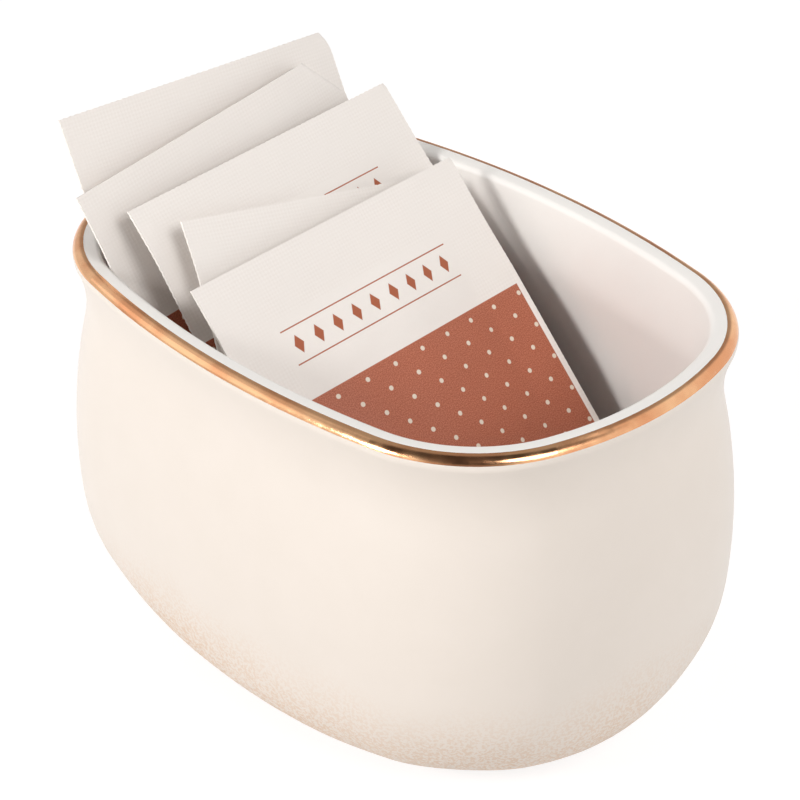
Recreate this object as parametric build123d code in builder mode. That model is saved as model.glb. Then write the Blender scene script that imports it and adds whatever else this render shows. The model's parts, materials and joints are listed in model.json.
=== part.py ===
"""Sugar packet holder: a glazed oval bowl with a gilded lip and five sugar packets.

The origin is the centre of the foot on the table, +Z is up and +X runs along the bowl.
The packets lean back towards -X, two steep ones behind three flatter ones.
"""

import os
from math import acos, asin, atan2, copysign, cos, degrees, hypot, radians, sin, tan
from typing import NamedTuple

from build123d import *

# Packet: two papers sealed all round a pillow of sugar
packet_width = 59.4
packet_height = 72.6
end_seal = 10.5
side_seal = 9.5
paper_thickness = 0.2
pillow_crown = 1.85
pillow_end_crown = 4.5
sugar_clearance = 0.1

# Row of packets: angles in degrees, places along the bowl where each packet crosses the rim
rear_lean = 29.0
front_lean = 41.5
packet_gap = 0.43
rear_room = 16.5
row_break = 8.35
front_room = 23.0


class Rest(NamedTuple):
    """How one packet stands: its slope, its slant in its own plane, and its lower edge's centre."""

    lean: float
    slant: float
    depth: float
    shift: float


rests = {
    1: Rest(rear_lean, 1.7, 44.6, -1.9),
    2: Rest(rear_lean, -7.7, 48.6, 5.0),
    3: Rest(front_lean, -3.9, 43.8, 5.7),
    4: Rest(front_lean, 10.4, 49.6, -7.4),
    5: Rest(front_lean, -3.1, 50.7, 2.9),
}

# Bowl: an oval of eight tangent arcs, and one wall section carried round it
rim_height = 71.0
side_room = 8.9
side_radius = 163.5
end_radius = 59.2
corner_radius = 25.8
wall = 3.0
floor_thickness = 5.0
floor_lap = 2.0
foot_recess = 1.5

# Wall section: tangent arcs down the outside, by how far they stand out from the mouth
neck_out = 0.2
belly_out = 3.5
belly_radius = 97.0
foot_reach = -25.0

# Heel: how roundly the wall turns under, most of all at the corners, and how much tighter it is inside
end_heel = 14.8
corner_heel = 25.0
side_heel = 18.5
inner_heel_step = 7.5

# Lip: a bead round the outside, gilded over its top, and a white land that rounds off inwards
lip_radius = 1.78
lip_end = -23.0
gilt_start = 95.0
gilt_end = 20.0
gilt_thickness = 0.2
land_width = 2.7
land_round = 1.1

pitch = 2 * (pillow_crown + paper_thickness) + packet_gap
rear_step = pitch / cos(radians(rear_lean))
front_step = pitch / cos(radians(front_lean))
front_reach = rests[5].depth * tan(radians(front_lean))
row_length = rear_step + row_break + 2 * front_step + front_reach
half_length = (rear_room + row_length + front_room) / 2
half_width = packet_width / 2 + side_room
floor_height = foot_recess + floor_thickness

rim_place = {1: rear_room - half_length}
rim_place[2] = rim_place[1] + rear_step
rim_place[3] = rim_place[2] + row_break
rim_place[4] = rim_place[3] + front_step
rim_place[5] = rim_place[4] + front_step

# Centres of the oval's arcs: a corner arc touches the side arc and the end arc from within
side_drop = side_radius - half_width
end_drop = end_radius - half_length
side_reach = side_radius - corner_radius
end_reach = end_radius - corner_radius
centre_gap = hypot(end_drop, side_drop)
spread = acos((side_reach**2 + centre_gap**2 - end_reach**2) / (2 * side_reach * centre_gap))
side_angle = atan2(side_drop, -end_drop) - spread
corner_x = side_reach * cos(side_angle)
corner_y = side_reach * sin(side_angle) - side_drop
end_turn = degrees(atan2(corner_y, corner_x + end_drop))
side_turn = degrees(side_angle)


def first_quarter(outset):
    """Draw the mouth's oval, moved outwards by a distance, from its +X end's middle to its +Y side's."""
    CenterArc((-end_drop, 0), end_radius + outset, 0, end_turn)
    CenterArc((corner_x, corner_y), corner_radius + outset, end_turn, side_turn - end_turn)
    CenterArc((0, -side_drop), side_radius + outset, side_turn, 90 - side_turn)


def oval(outset):
    """Draw the whole of that oval."""
    end = end_radius + outset
    side = side_radius + outset
    corner = corner_radius + outset
    first_quarter(outset)
    CenterArc((0, -side_drop), side, 90, 90 - side_turn)
    CenterArc((-corner_x, corner_y), corner, 180 - side_turn, side_turn - end_turn)
    CenterArc((end_drop, 0), end, 180 - end_turn, 2 * end_turn)
    CenterArc((-corner_x, -corner_y), corner, 180 + end_turn, side_turn - end_turn)
    CenterArc((0, side_drop), side, 180 + side_turn, 180 - 2 * side_turn)
    CenterArc((corner_x, -corner_y), corner, -side_turn, side_turn - end_turn)
    CenterArc((-end_drop, 0), end, -end_turn, end_turn)


def heading(angle):
    """A unit step in the wall section, by its angle from the outward direction."""
    return Vector(cos(radians(angle)), sin(radians(angle)))


lip_centre = Vector(0, rim_height) - heading(gilt_start) * lip_radius
lip_under = lip_centre + heading(lip_end) * lip_radius
gilt_turn = gilt_end - gilt_start

# The neck turns back to upright and out to the belly, and the inside keeps a wall's distance from it
neck_radius = (lip_under.X - neck_out) / (1 - cos(radians(lip_end)))
neck_height = lip_under.Y + neck_radius * sin(radians(lip_end))
belly_turn = degrees(acos(1 - (belly_out - neck_out) / (neck_radius + belly_radius)))
belly_height = neck_height - (neck_radius + belly_radius) * sin(radians(belly_turn))
inner_belly_radius = belly_radius - wall
inner_belly_out = belly_out - wall
inner_neck_radius = neck_radius + wall
inner_neck_swing = inner_belly_radius + inner_neck_radius
inner_neck_turn = degrees(acos(1 - (inner_belly_out + land_width) / inner_neck_swing))
land_slope = radians(gilt_start - 90)
land_length = land_width - land_round * (1 - sin(land_slope))
land_foot = rim_height - land_length * tan(land_slope) - land_round * cos(land_slope)

# The heel's radius at places round the oval, by the angle that each faces, to a corner past each end
corner_angle = (end_turn + side_turn) / 2
flank_angle = (side_turn + 90) / 2
heels = {
    -corner_angle: corner_heel,
    0: end_heel,
    corner_angle: corner_heel,
    flank_angle: side_heel,
    90: side_heel,
    180 - flank_angle: side_heel,
    180 - corner_angle: corner_heel,
}


def across_wall(angle):
    """The plane across the wall where the oval faces an angle, with X outwards."""
    way = heading(angle)
    turn = degrees(atan2(abs(way.Y), abs(way.X)))
    if turn <= end_turn:
        centre_x, centre_y, radius = -end_drop, 0, end_radius
    elif turn <= side_turn:
        centre_x, centre_y, radius = corner_x, corner_y, corner_radius
    else:
        centre_x, centre_y, radius = 0, -side_drop, side_radius
    centre = Vector(copysign(1, way.X) * centre_x, copysign(1, way.Y) * centre_y)
    return Plane(origin=centre + way * radius, x_dir=way, z_dir=(way.Y, -way.X, 0))


def wall_section(heel_radius):
    """Draw the wall's section in tangent arcs: down the outside, round the heel and up the inside."""
    heel_turn = degrees(asin((belly_height - heel_radius) / (belly_radius - heel_radius)))
    inner_heel_radius = heel_radius - inner_heel_step
    inner_heel_drop = belly_height - floor_height - inner_heel_radius
    inner_heel_reach = inner_belly_radius - inner_heel_radius
    inner_heel_turn = degrees(asin(inner_heel_drop / inner_heel_reach))
    floor_edge = inner_belly_out - inner_belly_radius + inner_heel_reach * cos(radians(inner_heel_turn))

    seat = CenterArc(lip_centre, lip_radius - gilt_thickness, gilt_start, gilt_turn)
    gilt_step = Line(seat @ 1, lip_centre + heading(gilt_end) * lip_radius)
    bead = CenterArc(lip_centre, lip_radius, gilt_end, lip_end - gilt_end)
    neck = JernArc(bead @ 1, heading(lip_end - 90), neck_radius, belly_turn - lip_end)
    belly = JernArc(neck @ 1, neck % 1, belly_radius, -belly_turn - heel_turn)
    heel = JernArc(belly @ 1, belly % 1, heel_radius, heel_turn - 90)
    foot = Line(heel @ 1, (foot_reach, 0))
    foot_side = Line(foot @ 1, (foot_reach, floor_height))
    floor_line = Line(foot_side @ 1, (floor_edge, floor_height))
    inner_heel = JernArc(floor_line @ 1, (1, 0), inner_heel_radius, 90 - inner_heel_turn)
    inner_belly_turn = inner_heel_turn + inner_neck_turn
    inner_belly = JernArc(inner_heel @ 1, inner_heel % 1, inner_belly_radius, inner_belly_turn)
    inner_neck = JernArc(inner_belly @ 1, inner_belly % 1, inner_neck_radius, -inner_neck_turn)
    collar = Line(inner_neck @ 1, (-land_width, land_foot))
    brim = JernArc(collar @ 1, (0, 1), land_round, gilt_start - 180)
    land = Line(brim @ 1, (0, rim_height))
    Line(land @ 1, seat @ 0)


with BuildPart() as bowl:
    with BuildLine() as stretch:
        CenterArc((corner_x, -corner_y), corner_radius, -corner_angle, corner_angle - end_turn)
        CenterArc((-end_drop, 0), end_radius, -end_turn, end_turn)
        first_quarter(0)
        CenterArc((0, -side_drop), side_radius, 90, 90 - side_turn)
        CenterArc((-corner_x, corner_y), corner_radius, 180 - side_turn, side_turn - corner_angle)
    for angle, heel_radius in heels.items():
        with BuildSketch(across_wall(angle)):
            with BuildLine():
                wall_section(heel_radius)
            make_face()
    sweep(path=stretch.wire(), multisection=True)
    split(bisect_by=Plane.XZ, keep=Keep.BOTTOM)
    split(bisect_by=Plane.YZ)
    mirror(about=Plane.XZ)
    mirror(about=Plane.YZ)
    with BuildSketch(Plane.XY.offset(foot_recess)):
        with BuildLine():
            oval(foot_reach + floor_lap)
        make_face()
    extrude(amount=floor_thickness)
bowl.part.label = "bowl"

with BuildPart() as gold_rim:
    with BuildLine() as gilt_path:
        oval(0)
    with BuildSketch(across_wall(0)):
        with BuildLine():
            outer_skin = CenterArc(lip_centre, lip_radius, gilt_start, gilt_turn)
            inner_skin = CenterArc(lip_centre, lip_radius - gilt_thickness, gilt_start, gilt_turn)
            Line(outer_skin @ 0, inner_skin @ 0)
            Line(outer_skin @ 1, inner_skin @ 1)
        make_face()
    sweep(path=gilt_path.wire())
gold_rim.part.label = "gold_rim"

pillow_width = packet_width - 2 * side_seal
pillow_height = packet_height - 2 * end_seal


def packet_face(number):
    """The packet's middle plane: X across it, Y up it and Z out of its front, from its lower edge."""
    rest = rests[number]
    lean = radians(rest.lean)
    slant = radians(rest.slant)
    along = rim_place[number] + rest.depth * tan(lean)
    crosswise = (sin(slant) * sin(lean), cos(slant), -sin(slant) * cos(lean))
    return Plane(
        origin=(along, rest.shift, rim_height - rest.depth),
        x_dir=crosswise,
        z_dir=(cos(lean), 0, sin(lean)),
    )


def pillow_planes(face):
    """Planes across and along the pillow, both with their Y out of the packet's front."""
    top = face.from_local_coords((0, packet_height - end_seal, 0))
    left = face.from_local_coords((-pillow_width / 2, packet_height / 2, 0))
    across = Plane(origin=top, x_dir=face.x_dir, z_dir=-face.y_dir)
    lengthways = Plane(origin=left, x_dir=face.y_dir, z_dir=face.x_dir)
    return across, lengthways


def pillow_spans(face):
    """For each way over the pillow: its plane, its span, its crown, its run and how it is joined."""
    across, lengthways = pillow_planes(face)
    return (
        (across, pillow_width, pillow_crown, pillow_height, Mode.ADD),
        (lengthways, pillow_height, pillow_end_crown, pillow_width, Mode.INTERSECT),
    )


def vault(face, low, high):
    """A block from one height over the packet's plane, crowned both ways from another height."""
    with BuildPart() as block:
        for plane, span, crown, run, mode in pillow_spans(face):
            with BuildSketch(plane):
                with BuildLine():
                    arch = ThreePointArc((-span / 2, high), (0, high + crown), (span / 2, high))
                    Polyline(arch @ 0, (-span / 2, low), (span / 2, low), arch @ 1)
                make_face()
            extrude(amount=run, mode=mode)
    return block.part


def paper(face, label):
    """One paper: a flat seal all round, domed over the sugar towards the plane's Z."""
    with BuildPart() as sheet:
        with BuildSketch(face):
            with Locations((0, packet_height / 2)):
                Rectangle(packet_width, packet_height)
        extrude(amount=paper_thickness)
        add(vault(face, 0, paper_thickness))
        add(vault(face, -paper_thickness, 0), mode=Mode.SUBTRACT)
    sheet.part.label = label
    return sheet.part


def sugar_fill(face, label):
    """The sugar: a pillow that fills the pouch, crowned to both sides."""
    with BuildPart() as pillow:
        for plane, span, crown, run, mode in pillow_spans(face):
            half = span / 2 - sugar_clearance
            rise = crown - sugar_clearance
            with BuildSketch(plane):
                with BuildLine():
                    ThreePointArc((-half, 0), (0, rise), (half, 0))
                    ThreePointArc((-half, 0), (0, -rise), (half, 0))
                make_face()
            extrude(amount=run, mode=mode)
    pillow.part.label = label
    return pillow.part


pieces = [bowl.part, gold_rim.part]
for number in rests:
    front = packet_face(number)
    back = Plane(origin=front.origin, x_dir=-front.x_dir, z_dir=-front.z_dir)
    pieces.append(paper(front, f"packet_{number}_front_paper"))
    pieces.append(paper(back, f"packet_{number}_back_paper"))
    pieces.append(sugar_fill(front, f"packet_{number}_sugar"))

os.makedirs("parts", exist_ok=True)
for piece in pieces:
    export_step(piece, f"parts/{piece.label}.step")
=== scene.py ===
"""Sugar packet holder: a glazed oval bowl with a gilded lip and five paper packets of sugar."""

import json
from math import acos, asin, atan2, cos, exp, hypot, pi, radians, sin
from typing import NamedTuple

import bpy
import numpy as np
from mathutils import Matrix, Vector, noise


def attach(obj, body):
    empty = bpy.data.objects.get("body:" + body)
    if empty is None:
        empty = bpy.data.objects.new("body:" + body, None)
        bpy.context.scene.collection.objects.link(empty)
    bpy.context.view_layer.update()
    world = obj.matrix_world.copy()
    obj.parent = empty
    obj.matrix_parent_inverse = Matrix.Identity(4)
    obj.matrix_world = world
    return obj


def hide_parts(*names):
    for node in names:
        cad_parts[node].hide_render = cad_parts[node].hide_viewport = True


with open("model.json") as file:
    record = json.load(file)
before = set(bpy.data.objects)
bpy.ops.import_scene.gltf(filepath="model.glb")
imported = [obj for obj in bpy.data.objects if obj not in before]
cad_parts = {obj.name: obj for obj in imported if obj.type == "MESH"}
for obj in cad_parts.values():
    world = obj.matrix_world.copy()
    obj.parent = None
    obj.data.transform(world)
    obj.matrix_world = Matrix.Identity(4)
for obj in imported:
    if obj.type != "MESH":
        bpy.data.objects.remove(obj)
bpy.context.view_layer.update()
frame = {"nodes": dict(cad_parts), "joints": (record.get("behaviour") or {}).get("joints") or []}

MM = 0.001

# Camera, by its angles in degrees round the point that it looks at
camera_azimuth = 46.848
camera_elevation = 32.373
camera_distance = 432.39 * MM
camera_height = 46.65 * MM
camera_aside = 0.54 * MM
lens_mm = 116.49
sensor_mm = 36.0

# Bowl: the oval of its mouth, in tangent arcs, and its heights
mouth_half_length = 54.99 * MM
mouth_half_width = 38.6 * MM
end_arc = 59.2 * MM
corner_arc = 25.8 * MM
side_arc = 163.5 * MM
arc_steps = (14, 22, 18)
rim_height = 71.0 * MM
floor_height = 6.5 * MM
foot_recess = 1.5 * MM
foot_width = 4.0 * MM
wall = 3.0 * MM

# Wall section: a lip with a gilded seat, a neck, a belly and a heel that is rounder at the corners
lip_radius = 1.78 * MM
lip_end = radians(-23)
gilt_start = radians(95)
gilt_end = radians(20)
gilt_thickness = 0.2 * MM
land_width = 2.7 * MM
land_round = 1.1 * MM
neck_out = 0.2 * MM
belly_out = 3.48 * MM
belly_radius = 107 * MM
heel_radius = 18.5 * MM
corner_heel = 7.6 * MM
heel_spread = 21 * MM
inner_heel_step = 7.5 * MM

# How finely the section's arcs are divided, up the outside and down the inside
heel_steps, belly_steps, neck_steps, lip_steps, seat_arc_steps = 16, 22, 14, 6, 8
land_steps, collar_steps, inner_belly_steps, inner_heel_steps = 6, 8, 18, 12

# Sanding on the outside: where it starts, where it is full, how its edge wanders and its least tint
sand_top = 28 * MM
sand_full = -4 * MM
sand_wander = 12 * MM
sand_least = 0.14

# Packet: seals, paper and how far the sugar swells it, in metres
end_seal = 10.5 * MM
side_seal = 9.5 * MM
paper_thickness = 0.2 * MM
pillow_crown = 1.78 * MM
ripple = 0.30 * MM
ripple_wide = 8.5 * MM
ripple_long = 34 * MM
lump = 0.08 * MM
lump_size = 5.2 * MM
sugar_clearance = 0.12 * MM
tooth_pitch = 1.2 * MM
panel_drop = 24.5 * MM
panel_margin = 1.2 * MM
knurl_pitch = 0.65 * MM
curl_strip = 20 * MM
curl_start = 49 * MM
curl_full = 62 * MM
left_curl_fade = 30 * MM
left_curl_gone = 6 * MM
side_tooth_share = 0.6
sugar_columns, sugar_rows = 36, 44

# Plain ornament on the paper: a row of lozenges between two rules, and dots over the panel
band_drop = 15.6 * MM
band_half = 18.9 * MM
rule_gap = 3.0 * MM
rule_half = 0.11 * MM
lozenge_pitch = 4.2 * MM
lozenge_wide = 0.95 * MM
lozenge_high = 1.65 * MM
dot_pitch = 6.2 * MM
dot_radius = 0.42 * MM

# Studio: the floor, the world's colours and the height that the lamps aim at
floor_half = 3.0
floor_matte = (0.78, 0.77, 0.76, 1)
floor_faint = (0.32, 0.31, 0.31, 1)
floor_glow = 0.80
left_wall = (0.78, 0.77, 0.76, 1)
right_wall = (0.98, 0.97, 0.955, 1)
dim_wall = (0.40, 0.394, 0.386, 1)
dim_ceiling = (0.07, 0.066, 0.062, 1)
ceiling_angles = (-43, 66)
lamp_aim = 0.04
lamp_white = (1.0, 0.985, 0.965)
fill_white = (1.0, 0.985, 0.97)


class Look(NamedTuple):
    """How one packet differs: its cut teeth, its sides' curls and its rolled upper right corner."""

    tooth: float
    curl: float
    left_curl: float
    roll_top: float
    roll_side: float
    roll_radius: float


looks = {
    1: Look(0.16 * MM, 2.6 * MM, 0.0, 3.2 * MM, 4.5 * MM, 2.2 * MM),
    2: Look(0.06 * MM, 2.3 * MM, 1.6 * MM, 7.0 * MM, 9.0 * MM, 0.7 * MM),
    3: Look(0.15 * MM, 0.5 * MM, 2.2 * MM, 1.2 * MM, 1.6 * MM, 1.5 * MM),
    4: Look(0.12 * MM, 0.3 * MM, 2.1 * MM, 9.0 * MM, 15.0 * MM, 0.7 * MM),
    5: Look(0.06 * MM, 0.4 * MM, 1.8 * MM, 1.4 * MM, 1.2 * MM, 2.0 * MM),
}


def linear(red, green, blue):
    """A colour given as it looks on a screen, from 0 to 255, as a shader takes it."""
    def part(value):
        value /= 255
        return value / 12.92 if value <= 0.04045 else ((value + 0.055) / 1.055) ** 2.4

    return (part(red), part(green), part(blue), 1.0)


class Tree:
    """The nodes of one material or world, made one call at a time."""

    def __init__(self, owner):
        owner.use_nodes = True
        self.tree = owner.node_tree
        self.tree.nodes.clear()

    def node(self, kind, settings=None, **inputs):
        made = self.tree.nodes.new(f"ShaderNode{kind}")
        for name, value in (settings or {}).items():
            setattr(made, name, value)
        for name, value in inputs.items():
            self.feed(made.inputs[name.replace("_", " ")], value)
        return made

    def feed(self, socket, value):
        if isinstance(value, bpy.types.NodeSocket):
            self.tree.links.new(value, socket)
        else:
            socket.default_value = value

    def math(self, operation, first, second=0.0, clamp=False):
        made = self.node("Math", {"operation": operation, "use_clamp": clamp})
        self.feed(made.inputs[0], first)
        self.feed(made.inputs[1], second)
        return made.outputs[0]

    def ramp(self, value, low, high, to_low=0.0, to_high=1.0):
        """A smooth step of a value between two others."""
        made = self.node("MapRange", {"interpolation_type": "SMOOTHSTEP"})
        for index, item in enumerate((value, low, high, to_low, to_high)):
            self.feed(made.inputs[index], item)
        return made.outputs[0]

    def mix(self, factor, first, second):
        made = self.node("Mix", {"data_type": "RGBA"})
        self.feed(made.inputs[0], factor)
        self.feed(made.inputs[6], first)
        self.feed(made.inputs[7], second)
        return made.outputs[2]

    def along(self, way, axis):
        """How far a direction points along a fixed one."""
        made = self.node("VectorMath", {"operation": "DOT_PRODUCT"})
        self.feed(made.inputs[0], way)
        self.feed(made.inputs[1], axis)
        return made.outputs["Value"]

    def grain(self, place, scale, detail=2.0, roughness=0.5):
        made = self.node("TexNoise", Vector=place, Scale=scale, Detail=detail, Roughness=roughness)
        return made.outputs["Fac"]

    def bump(self, height, distance, normal=None):
        made = self.node("Bump", Height=height, Distance=distance, Strength=1.0)
        if normal is not None:
            self.feed(made.inputs["Normal"], normal)
        return made.outputs["Normal"]

    def finish(self, **inputs):
        """End the material in one surface shader with these inputs."""
        shader = self.node("BsdfPrincipled", None, **inputs)
        output = self.node("OutputMaterial")
        self.tree.links.new(shader.outputs[0], output.inputs["Surface"])


def material(name):
    made = bpy.data.materials.new(name)
    return made, Tree(made)


def glaze_material(name, light, dark, top):
    """Glaze, sanded below a height with beige specks that thicken towards the foot."""
    made, tree = material(name)
    place = tree.node("TexCoord").outputs["Object"]
    height = tree.node("SeparateXYZ", Vector=place).outputs["Z"]
    drift = tree.grain(place, 45, 2)
    wander = tree.math("MULTIPLY", tree.math("SUBTRACT", drift, 0.5), sand_wander)
    sanding = tree.ramp(tree.math("ADD", height, wander), top, sand_full)
    specks = tree.grain(place, 1700, 2, 0.7)
    dots = tree.ramp(specks, 0.45, 0.57)
    weight = tree.math("ADD", dots, sand_least)
    tint = tree.math("MULTIPLY", sanding, weight, True)
    cloud = tree.mix(tree.grain(place, 120, 3), light, dark)
    colour = tree.mix(tint, cloud, linear(211, 171, 132))
    rough = tree.ramp(sanding, 0.0, 1.0, 0.42, 0.65)
    waves = tree.bump(tree.grain(place, 70, 2), 0.12 * MM)
    sand = tree.bump(tree.math("MULTIPLY", specks, sanding), 0.08 * MM, waves)
    tree.finish(
        Base_Color=colour, Roughness=rough, Normal=sand, IOR=1.5, Coat_Weight=0.15, Coat_Roughness=0.25
    )
    return made


def gold_material():
    """Burnished gilding, brushed on, with thin and thick places."""
    made, tree = material("gold")
    place = tree.node("TexCoord").outputs["Object"]
    patches = tree.ramp(tree.grain(place, 140, 3), 0.35, 0.65)
    colour = tree.mix(patches, linear(228, 162, 118), linear(245, 192, 146))
    rough = tree.ramp(tree.grain(place, 420, 3), 0.3, 0.7, 0.14, 0.26)
    brush = tree.bump(tree.grain(place, 900, 2), 0.01 * MM)
    tree.finish(Base_Color=colour, Metallic=1.0, Roughness=rough, Normal=brush)
    return made


def ornament(tree, across, along, height):
    """Where the paper's plain ornament is: lozenges between two rules, and staggered dots."""
    aside = tree.math("ABSOLUTE", across)
    level = tree.math("ABSOLUTE", tree.math("SUBTRACT", along, (height - band_drop) / MM))
    in_band = tree.ramp(aside, band_half / MM + 0.03, band_half / MM - 0.03)
    from_rule = tree.math("ABSOLUTE", tree.math("SUBTRACT", level, rule_gap / MM))
    rules = tree.ramp(from_rule, rule_half / MM + 0.04, rule_half / MM - 0.04)
    step = tree.math("PINGPONG", across, lozenge_pitch / MM / 2)
    slant = tree.math("DIVIDE", step, lozenge_wide / MM)
    rise = tree.math("DIVIDE", level, lozenge_high / MM)
    lozenges = tree.ramp(tree.math("ADD", slant, rise), 1.06, 0.94)
    band = tree.math("MULTIPLY", tree.math("MAXIMUM", rules, lozenges), in_band)
    half = dot_pitch / MM / 2
    even = tree.math("POWER", tree.math("PINGPONG", across, half), 2.0)
    odd = tree.math("POWER", tree.math("PINGPONG", tree.math("ADD", across, half), half), 2.0)
    near = tree.math("POWER", tree.math("PINGPONG", along, half), 2.0)
    far = tree.math("POWER", tree.math("PINGPONG", tree.math("ADD", along, half), half), 2.0)
    reach = tree.math("MINIMUM", tree.math("ADD", even, near), tree.math("ADD", odd, far))
    size = (dot_radius / MM) ** 2
    dots = tree.ramp(reach, size * 1.25, size * 0.75)
    return band, dots


def paper_material(name, width, height):
    """Embossed paper with a printed panel: the map is in millimetres, from the lower edge's centre."""
    made, tree = material(name)
    flat = tree.node("UVMap").outputs["UV"]
    axes = tree.node("SeparateXYZ", Vector=flat)
    across, along = axes.outputs["X"], axes.outputs["Y"]
    aside = tree.math("ABSOLUTE", across)
    from_middle = tree.math("ABSOLUTE", tree.math("SUBTRACT", along, height / MM / 2))
    side_start = (width / 2 - side_seal) / MM
    end_start = (height / 2 - end_seal) / MM
    side = tree.ramp(aside, side_start - 0.4, side_start + 0.4)
    end = tree.ramp(from_middle, end_start - 0.4, end_start + 0.4)
    sealed = tree.math("MAXIMUM", side, end)

    turn = 2 * pi * MM / knurl_pitch
    ribs = tree.math("SINE", tree.math("MULTIPLY", across, turn))
    rows = tree.math("SINE", tree.math("MULTIPLY", along, turn))
    worn = tree.ramp(tree.grain(flat, 0.16, 2), 0.35, 0.65, 0.25, 1.0)
    pressing = tree.math("MULTIPLY", sealed, worn)
    knurl = tree.math("MULTIPLY", tree.math("ADD", ribs, rows), pressing)
    fibre = tree.grain(flat, 2.2, 4, 0.65)
    flecks = tree.grain(flat, 5.0, 2, 0.6)

    edge = (width / 2 - panel_margin) / MM
    panel_top = (height - panel_drop) / MM
    inside = tree.ramp(aside, edge + 0.05, edge - 0.05)
    below = tree.ramp(along, panel_top + 0.06, panel_top - 0.06)
    printed = tree.math("MULTIPLY", inside, below)
    band, dots = ornament(tree, across, along, height)
    white = tree.mix(fibre, linear(251, 246, 242), linear(244, 238, 233))
    # Painted shade: the knurl's grooves are coloured darker than its ridges, on top of its bump
    shaded = tree.mix(tree.ramp(knurl, -1.4, 1.2), linear(244, 238, 233), white)
    marked = tree.mix(band, shaded, linear(176, 98, 68))
    ink = tree.mix(tree.ramp(flecks, 0.36, 0.66), linear(166, 86, 60), linear(199, 120, 90))
    dotted = tree.mix(dots, ink, linear(236, 222, 206))
    colour = tree.mix(printed, marked, dotted)
    rough = tree.ramp(printed, 0.0, 1.0, 0.78, 0.5)
    raised = tree.bump(knurl, 0.0042 * MM)
    felt = tree.bump(fibre, 0.02 * MM, raised)
    speckled = tree.bump(tree.math("MULTIPLY", flecks, printed), 0.02 * MM, felt)
    tree.finish(Base_Color=colour, Roughness=rough, Normal=speckled, IOR=1.45)
    return made


def sugar_material():
    """White crystals with a sparkle of rough facets."""
    made, tree = material("sugar")
    place = tree.node("TexCoord").outputs["Object"]
    crystals = tree.node("TexVoronoi", Vector=place, Scale=1600.0)
    colour = tree.mix(crystals.outputs["Distance"], linear(250, 248, 244), linear(226, 220, 210))
    facets = tree.bump(crystals.outputs["Distance"], 0.25 * MM)
    rough = tree.ramp(crystals.outputs["Distance"], 0.0, 0.6, 0.25, 0.6)
    tree.finish(Base_Color=colour, Roughness=rough, Normal=facets, IOR=1.54)
    return made


class Stand(NamedTuple):
    """Where one packet stands: its lower edge's centre, its directions and its size."""

    origin: Vector
    across: Vector
    up: Vector
    out: Vector
    width: float
    height: float


def stand_of(number):
    """Read a packet's stand from its front paper and from the way that it lifts."""
    lift = next(joint for joint in frame["joints"] if joint["child"] == f"packet_{number}")
    up = Vector(lift["axis"]).normalized()
    out = Vector((up.z, 0, -up.x)).normalized()
    across = up.cross(out)
    points = [vertex.co for vertex in frame["nodes"][f"packet_{number}_front_paper"].data.vertices]
    spans = [[way.dot(point) for point in points] for way in (across, up, out)]
    lows = [min(span) for span in spans]
    highs = [max(span) for span in spans]
    middle = (lows[0] + highs[0]) / 2
    origin = across * middle + up * lows[1] + out * lows[2]
    return Stand(origin, across, up, out, highs[0] - lows[0], highs[1] - lows[1])


def smooth(value, low, high):
    """A smooth step from 0 to 1 as a value goes from one place to another."""
    part = min(1.0, max(0.0, (value - low) / (high - low)))
    return part * part * (3 - 2 * part)


def swelling(number, side, x, y, stand):
    """How far the paper stands off the packet's middle over the sugar, with its ripples and lumps."""
    a = x / (stand.width / 2 - side_seal)
    b = (y - stand.height / 2) / (stand.height / 2 - end_seal)
    if abs(a) >= 1 or abs(b) >= 1:
        return 0.0
    dome = (1 - a * a) ** 1.15 * (1 - b**4) ** 1.1
    settled = 1.0 - 0.10 * b
    seed = 5.3 * number + 11 * side
    ripples = noise.noise(Vector((x / ripple_wide + 0.25 * b, y / ripple_long, seed)))
    lumps = noise.noise(Vector((x / lump_size, y / lump_size, seed + 3)))
    edge = min(1.0, 3 * dome)
    return max(0.0, pillow_crown * dome * settled + edge * (ripple * ripples + lump * lumps))


def rolled(x, y, stand, look):
    """Roll the upper right corner back round a slanting line: the new place, and how far behind."""
    slope = Vector((look.roll_side, look.roll_top)).normalized()
    corner = Vector((stand.width / 2, stand.height))
    start = (corner - Vector((look.roll_top, 0))).dot(slope)
    beyond = Vector((x, y)).dot(slope) - start
    if beyond <= 0:
        return x, y, 0.0
    turn = min(beyond / look.roll_radius, pi)
    rest = beyond - turn * look.roll_radius
    kept = look.roll_radius * sin(turn) + rest * cos(turn)
    behind = look.roll_radius * (1 - cos(turn)) + rest * sin(turn)
    moved = Vector((x, y)) + slope * (kept - beyond)
    return moved.x, moved.y, behind


def curled(x, y, stand, look):
    """How far behind the packet's plane its sides curl: the upper right side, and the left seal."""
    right = max(0.0, (x - stand.width / 2 + curl_strip) / curl_strip)
    left = max(0.0, (side_seal - stand.width / 2 - x) / side_seal)
    upper = smooth(y, curl_start, curl_full)
    lower = 1 - smooth(y, stand.height - left_curl_fade, stand.height - left_curl_gone)
    return look.curl * right**2 * upper + look.left_curl * left**1.5 * lower


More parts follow.
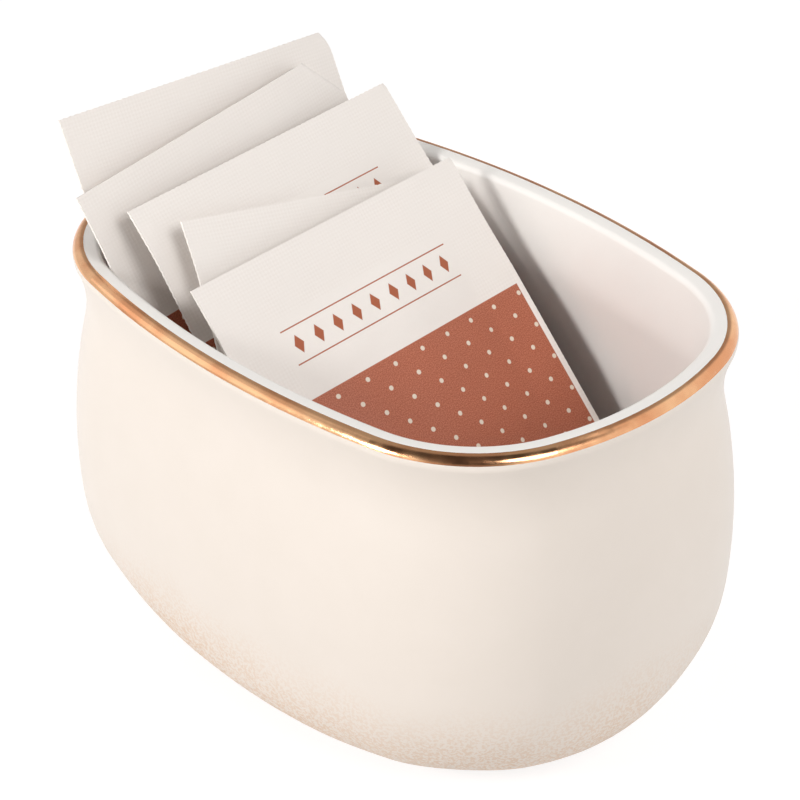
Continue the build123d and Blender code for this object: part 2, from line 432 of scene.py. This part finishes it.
def paper_mesh(number, side, stand):
    """One paper: a fine grid from cut edge to cut edge, with a narrow rim to the packet's middle."""
    look = looks[number]
    columns = 2 * round(stand.width / tooth_pitch)
    rows = 2 * round(stand.height / tooth_pitch)
    places, flats = [], []

    def put(x, y, off):
        spot_x, spot_y, behind = rolled(x, y, stand, look)
        behind += curled(x, y, stand, look)
        spot = stand.origin + stand.across * spot_x + stand.up * spot_y
        places.append(spot + stand.out * (side * off - behind))
        flats.append((x / MM, y / MM))

    for row in range(rows + 1):
        for column in range(columns + 1):
            x = (column / columns - 0.5) * stand.width
            y = row / rows * stand.height
            if row in (0, rows) and column % 2:
                y -= look.tooth if row else -look.tooth
            if column in (0, columns) and row % 2:
                x -= look.tooth * side_tooth_share * (1 if column else -1)
            put(x, y, paper_thickness + swelling(number, side, x, y, stand))

    def index(row, column):
        return row * (columns + 1) + column

    quads = [
        (index(r, c), index(r, c + 1), index(r + 1, c + 1), index(r + 1, c))
        for r in range(rows)
        for c in range(columns)
    ]
    edge = [index(0, c) for c in range(columns)]
    edge += [index(r, columns) for r in range(rows)]
    edge += [index(rows, c) for c in range(columns, 0, -1)]
    edge += [index(r, 0) for r in range(rows, 0, -1)]
    first = len(places)
    for corner in edge:
        x, y = flats[corner]
        put(x * MM, y * MM, 0.0)
    count = len(edge)
    for step, corner in enumerate(edge):
        following = (step + 1) % count
        quads.append((first + step, first + following, edge[following], corner))
    if side < 0:
        quads = [quad[::-1] for quad in quads]
    return mesh_object(f"packet_{number}_{'front' if side > 0 else 'back'}", places, quads, flats)


def sugar_mesh(number, stand):
    """The sugar inside: a closed pillow a little smaller than the pouch."""
    columns, rows = sugar_columns, sugar_rows
    half_wide = stand.width / 2 - side_seal - sugar_clearance
    half_high = stand.height / 2 - end_seal - sugar_clearance
    places, quads = [], []
    for side in (1, -1):
        first = len(places)
        for row in range(rows + 1):
            for column in range(columns + 1):
                x = (2 * column / columns - 1) * half_wide
                y = stand.height / 2 + (2 * row / rows - 1) * half_high
                off = max(0.0, swelling(number, side, x, y, stand) - sugar_clearance)
                edge = row in (0, rows) or column in (0, columns)
                spot = stand.origin + stand.across * x + stand.up * y
                behind = curled(x, y, stand, looks[number])
                places.append(spot + stand.out * ((0 if edge else side * off) - behind))
        for row in range(rows):
            for column in range(columns):
                low = first + row * (columns + 1) + column
                high = low + columns + 1
                quads.append((low, low + 1, high + 1, high)[::side])
    return mesh_object(f"packet_{number}_crystals", places, quads, None)


def mesh_object(name, places, quads, flats):
    mesh = bpy.data.meshes.new(name)
    mesh.from_pydata([tuple(place) for place in places], [], quads)
    if flats is not None:
        layer = mesh.uv_layers.new(name="UVMap")
        corners = np.zeros(len(mesh.loops), dtype=np.int32)
        mesh.loops.foreach_get("vertex_index", corners)
        layer.data.foreach_set("uv", np.array(flats, dtype=np.float32)[corners].ravel())
    mesh.polygons.foreach_set("use_smooth", [True] * len(mesh.polygons))
    mesh.set_sharp_from_angle(angle=radians(50))
    mesh.update()
    made = bpy.data.objects.new(name, mesh)
    bpy.context.collection.objects.link(made)
    return made


def add_packet(number, paper, sugar):
    """Two papers and the sugar of one packet, each in place of its solid."""
    stand = stand_of(number)
    body = f"packet_{number}"
    fill = sugar_mesh(number, stand)
    fill.data.materials.append(sugar)
    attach(fill, body)
    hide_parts(f"{body}_sugar")
    for side, name in ((1, "front"), (-1, "back")):
        sheet = paper_mesh(number, side, stand)
        sheet.data.materials.append(paper)
        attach(sheet, body)
        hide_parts(f"{body}_{name}_paper")


def oval_arcs():
    """The first quarter of the mouth: each arc's centre, radius and angles, from the end to the side."""
    side_drop = side_arc - mouth_half_width
    end_drop = end_arc - mouth_half_length
    side_reach, end_reach = side_arc - corner_arc, end_arc - corner_arc
    gap = hypot(end_drop, side_drop)
    spread = acos((side_reach**2 + gap**2 - end_reach**2) / (2 * side_reach * gap))
    side_turn = atan2(side_drop, -end_drop) - spread
    corner_x = side_reach * cos(side_turn)
    corner_y = side_reach * sin(side_turn) - side_drop
    end_turn = atan2(corner_y, corner_x + end_drop)
    return (
        (-end_drop, 0, end_arc, 0, end_turn),
        (corner_x, corner_y, corner_arc, end_turn, side_turn),
        (0, -side_drop, side_arc, side_turn, pi / 2),
    )


def mouth_stations():
    """Places round the mouth: a point, its outward way and the heel's radius there."""
    arcs = oval_arcs()
    lengths = [radius * (end - start) for _, _, radius, start, end in arcs]
    corner = lengths[0] + lengths[1] / 2
    corners = (corner, -corner, 2 * sum(lengths) - corner)

    def station(arc, share, length):
        x, y, radius, start, end = arc
        turn = start + (end - start) * share
        bulge = sum(exp(-(((length - place) / heel_spread) ** 2)) for place in corners)
        point = (x + radius * cos(turn), y + radius * sin(turn))
        return point, (cos(turn), sin(turn)), heel_radius + corner_heel * bulge

    quarter, done = [], 0.0
    for arc, length, steps in zip(arcs, lengths, arc_steps):
        quarter += [station(arc, step / steps, done + length * step / steps) for step in range(steps)]
        done += length
    quarter.append(station(arcs[-1], 1.0, done))

    def turned(places, x, y):
        return [((x * p[0], y * p[1]), (x * w[0], y * w[1]), heel) for p, w, heel in places]

    onward, back = quarter[:-1], quarter[:0:-1]
    return onward + turned(back, -1, 1) + turned(onward, -1, -1) + turned(back, 1, -1)


def arc_points(centre, radius, start, end, steps):
    """Points along an arc of the wall's section, from one angle to another."""
    turns = [start + (end - start) * step / steps for step in range(steps + 1)]
    return [(centre[0] + radius * cos(turn), centre[1] + radius * sin(turn)) for turn in turns]


def wall_section(heel):
    """The wall's section, from under the foot up the outside, over the lip and down to the floor."""
    lip = (-lip_radius * cos(gilt_start), rim_height - lip_radius * sin(gilt_start))
    under = (lip[0] + lip_radius * cos(lip_end), lip[1] + lip_radius * sin(lip_end))
    neck_radius = (under[0] - neck_out) / (1 - cos(lip_end))
    neck = (neck_out + neck_radius, under[1] + neck_radius * sin(lip_end))
    neck_turn = acos(1 - (belly_out - neck_out) / (neck_radius + belly_radius))
    belly = (belly_out - belly_radius, neck[1] - (neck_radius + belly_radius) * sin(neck_turn))
    heel_turn = asin((belly[1] - heel) / (belly_radius - heel))
    heel_x = belly[0] + (belly_radius - heel) * cos(heel_turn)
    points = [(heel_x - foot_width, foot_recess), (heel_x - foot_width, 0)]
    points += arc_points((heel_x, heel), heel, -pi / 2, -heel_turn, heel_steps)
    points += arc_points(belly, belly_radius, -heel_turn, neck_turn, belly_steps)[1:]
    points += arc_points(neck, neck_radius, pi + neck_turn, pi + lip_end, neck_steps)[1:]
    points += arc_points(lip, lip_radius, lip_end, gilt_end, lip_steps)[1:]
    seat_steps = len(points)
    points += arc_points(lip, lip_radius - gilt_thickness, gilt_end, gilt_start, seat_arc_steps)

    slope = gilt_start - pi / 2
    land_length = land_width - land_round * (1 - sin(slope))
    land_foot = rim_height - land_length * sin(slope) / cos(slope) - land_round * cos(slope)
    inner_radius, inner_neck = belly_radius - wall, neck_radius + wall
    inner_turn = acos(1 - (belly_out - wall + land_width) / (inner_radius + inner_neck))
    collar = (inner_neck - land_width, belly[1] + (inner_radius + inner_neck) * sin(inner_turn))
    inner_heel = heel - inner_heel_step
    reach = inner_radius - inner_heel
    floor_turn = asin((belly[1] - floor_height - inner_heel) / reach)
    floor_edge = (belly[0] + reach * cos(floor_turn), floor_height + inner_heel)
    points.append((0, rim_height))
    land = (land_round - land_width, land_foot)
    points += arc_points(land, land_round, gilt_start, pi, land_steps)
    points += arc_points(collar, inner_neck, pi, pi + inner_turn, collar_steps)
    points += arc_points(belly, inner_radius, inner_turn, -floor_turn, inner_belly_steps)[1:]
    points += arc_points(floor_edge, inner_heel, -floor_turn, -pi / 2, inner_heel_steps)[1:]
    return points, seat_steps


def add_bowl():
    """The glazed bowl in place of its solid: the wall's section carried round the mouth."""
    places, quads = [], []
    stations = mouth_stations()
    for point, way, heel in stations:
        section, seat_steps = wall_section(heel)
        places += [Vector((point[0] + out * way[0], point[1] + out * way[1], z)) for out, z in section]
    size, count = len(section), len(stations)
    for number in range(count):
        here, there = number * size, (number + 1) % count * size
        for step in range(size - 1):
            quads.append((here + step, there + step, there + step + 1, here + step + 1))
    quads.append([number * size for number in reversed(range(count))])
    quads.append([number * size + size - 1 for number in range(count)])
    made = mesh_object("glazed_bowl", places, quads, None)
    # Painted light and shade: the inside gets a lighter copy of the outside's glaze, brightening the
    # inside and darkening the outside
    outer = glaze_material("glaze", linear(231, 222, 214), linear(227, 218, 209), sand_top)
    inner = glaze_material("inner_glaze_painted_light", linear(248, 246, 243), linear(246, 243, 240), 0)
    made.data.materials.append(outer)
    made.data.materials.append(inner)
    inside = [step >= seat_steps for number in range(count) for step in range(size - 1)] + [False, True]
    made.data.polygons.foreach_set("material_index", inside)
    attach(made, "holder")
    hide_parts("bowl")


def gild_rim():
    """The gilding keeps its solid and gets its finish."""
    mesh = frame["nodes"]["gold_rim"].data
    mesh.materials.clear()
    mesh.materials.append(gold_material())


def add_floor():
    """A pale floor that shows white and keeps a soft shadow."""
    half = floor_half
    corners = [(-half, -half, 0), (half, -half, 0), (half, half, 0), (-half, half, 0)]
    floor = mesh_object("floor", [Vector(corner) for corner in corners], [(0, 1, 2, 3)], None)
    made, tree = material("floor")
    rays = tree.node("LightPath")
    seen = tree.math("MAXIMUM", rays.outputs["Is Camera Ray"], rays.outputs["Is Glossy Ray"])
    seen = tree.math("MAXIMUM", seen, rays.outputs["Is Transmission Ray"])
    matte = tree.node("BsdfDiffuse", Color=floor_matte)
    faint = tree.node("BsdfDiffuse", Color=floor_faint)
    glow = tree.node("Emission", Color=(1, 1, 1, 1), Strength=floor_glow)
    white = tree.node("AddShader")
    tree.tree.links.new(faint.outputs[0], white.inputs[0])
    tree.tree.links.new(glow.outputs[0], white.inputs[1])
    both = tree.node("MixShader")
    tree.feed(both.inputs[0], seen)
    tree.tree.links.new(matte.outputs[0], both.inputs[1])
    tree.tree.links.new(white.outputs[0], both.inputs[2])
    output = tree.node("OutputMaterial")
    tree.tree.links.new(both.outputs[0], output.inputs["Surface"])
    floor.data.materials.append(made)


def toward(azimuth, elevation):
    """A direction by its angle from +X and its height over the horizon, in degrees."""
    turn, rise = radians(azimuth), radians(elevation)
    return Vector((cos(turn) * cos(rise), sin(turn) * cos(rise), sin(rise)))


def add_lamp(name, azimuth, elevation, distance, size, power, colour):
    lamp = bpy.data.lights.new(name, "AREA")
    lamp.shape = "DISK"
    lamp.size = size
    lamp.energy = power
    lamp.color = colour
    made = bpy.data.objects.new(name, lamp)
    way = toward(azimuth, elevation)
    made.location = way * distance + Vector((0, 0, lamp_aim))
    made.rotation_euler = way.to_track_quat("Z", "Y").to_euler()
    bpy.context.collection.objects.link(made)


def light_scene():
    """Two low lamps from the left, one for the packets, pale walls at both sides and a dim ceiling."""
    world = bpy.data.worlds.new("studio")
    bpy.context.scene.world = world
    tree = Tree(world)
    way = tree.node("TexCoord").outputs["Generated"]
    ceiling = tree.ramp(tree.along(way, toward(*ceiling_angles)), 0.62, 0.80)
    sideways = tree.along(way, toward(camera_azimuth, 0))
    sides = tree.mix(tree.ramp(sideways, -0.2, 0.2), left_wall, right_wall)
    aside = tree.ramp(tree.math("ABSOLUTE", sideways), 0.25, 0.50)
    walls = tree.mix(aside, dim_wall, sides)
    colour = tree.mix(ceiling, walls, dim_ceiling)
    light = tree.node("Background", Color=colour, Strength=1.0)
    output = tree.node("OutputWorld")
    tree.tree.links.new(light.outputs[0], output.inputs["Surface"])
    add_lamp("key", -100, 28, 0.8, 0.22, 3.35, lamp_white)
    add_lamp("fill", -3, 43, 1.0, 0.5, 3.8, fill_white)
    add_lamp("side", -140, 28, 0.8, 0.5, 0.3, lamp_white)


def add_camera():
    turn, rise = radians(camera_azimuth), radians(camera_elevation)
    back = Vector((sin(turn) * cos(rise), -cos(turn) * cos(rise), sin(rise)))
    right = Vector((cos(turn), sin(turn), 0))
    camera = bpy.data.cameras.new("camera")
    camera.lens = lens_mm
    camera.sensor_width = sensor_mm
    camera.clip_start = 0.01
    made = bpy.data.objects.new("camera", camera)
    made.location = Vector((0, 0, camera_height)) + right * camera_aside + back * camera_distance
    made.rotation_mode = "QUATERNION"
    made.rotation_quaternion = (-back).to_track_quat("-Z", "Y")
    bpy.context.collection.objects.link(made)
    bpy.context.scene.camera = made


bpy.context.scene.view_settings.view_transform = "Standard"
add_camera()
light_scene()
add_floor()
add_bowl()
gild_rim()
sample = stand_of(1)
paper = paper_material("paper", sample.width, sample.height)
sugar = sugar_material()
for number in looks:
    add_packet(number, paper, sugar)
